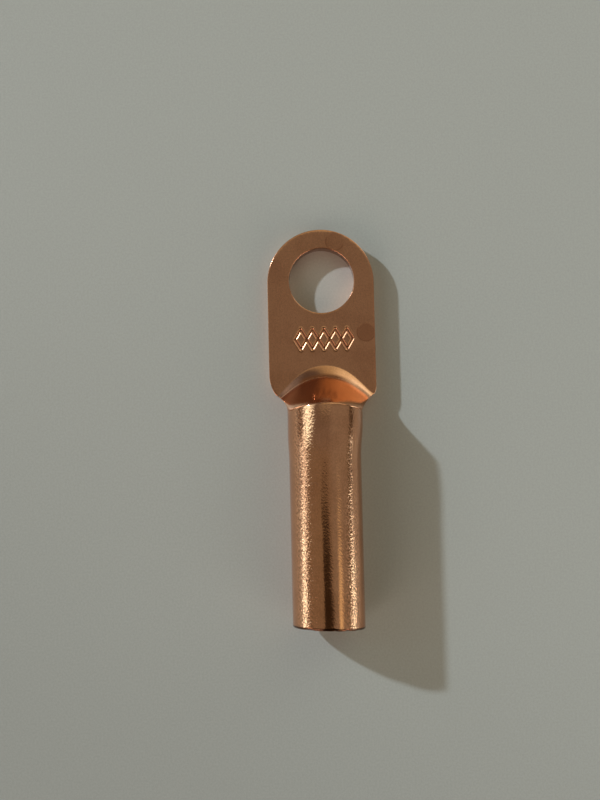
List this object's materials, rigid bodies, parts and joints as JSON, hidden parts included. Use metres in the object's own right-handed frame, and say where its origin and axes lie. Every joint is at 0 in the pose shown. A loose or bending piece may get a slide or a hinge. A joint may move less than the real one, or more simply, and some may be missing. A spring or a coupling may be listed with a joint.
{
  "type": "copper cable lug",
  "caption": "Tubular copper cable lug: a bored barrel takes a stranded conductor and a flat palm with a bolt hole fixes it to a terminal or busbar.",
  "frame": {"origin": "centre of the bolt hole on the palm's back face", "axes": "+Z along the bolt hole, out of the palm's front face; +X along the lug towards the barrel's mouth; +Y across the palm"},
  "size_m": [0.0639, 0.0172, 0.0114],
  "materials": {
    "copper": "bare tumbled copper, satin"
  },
  "bodies": {
    "root": {"cable_lug": "copper"}
  },
  "joints": []
}
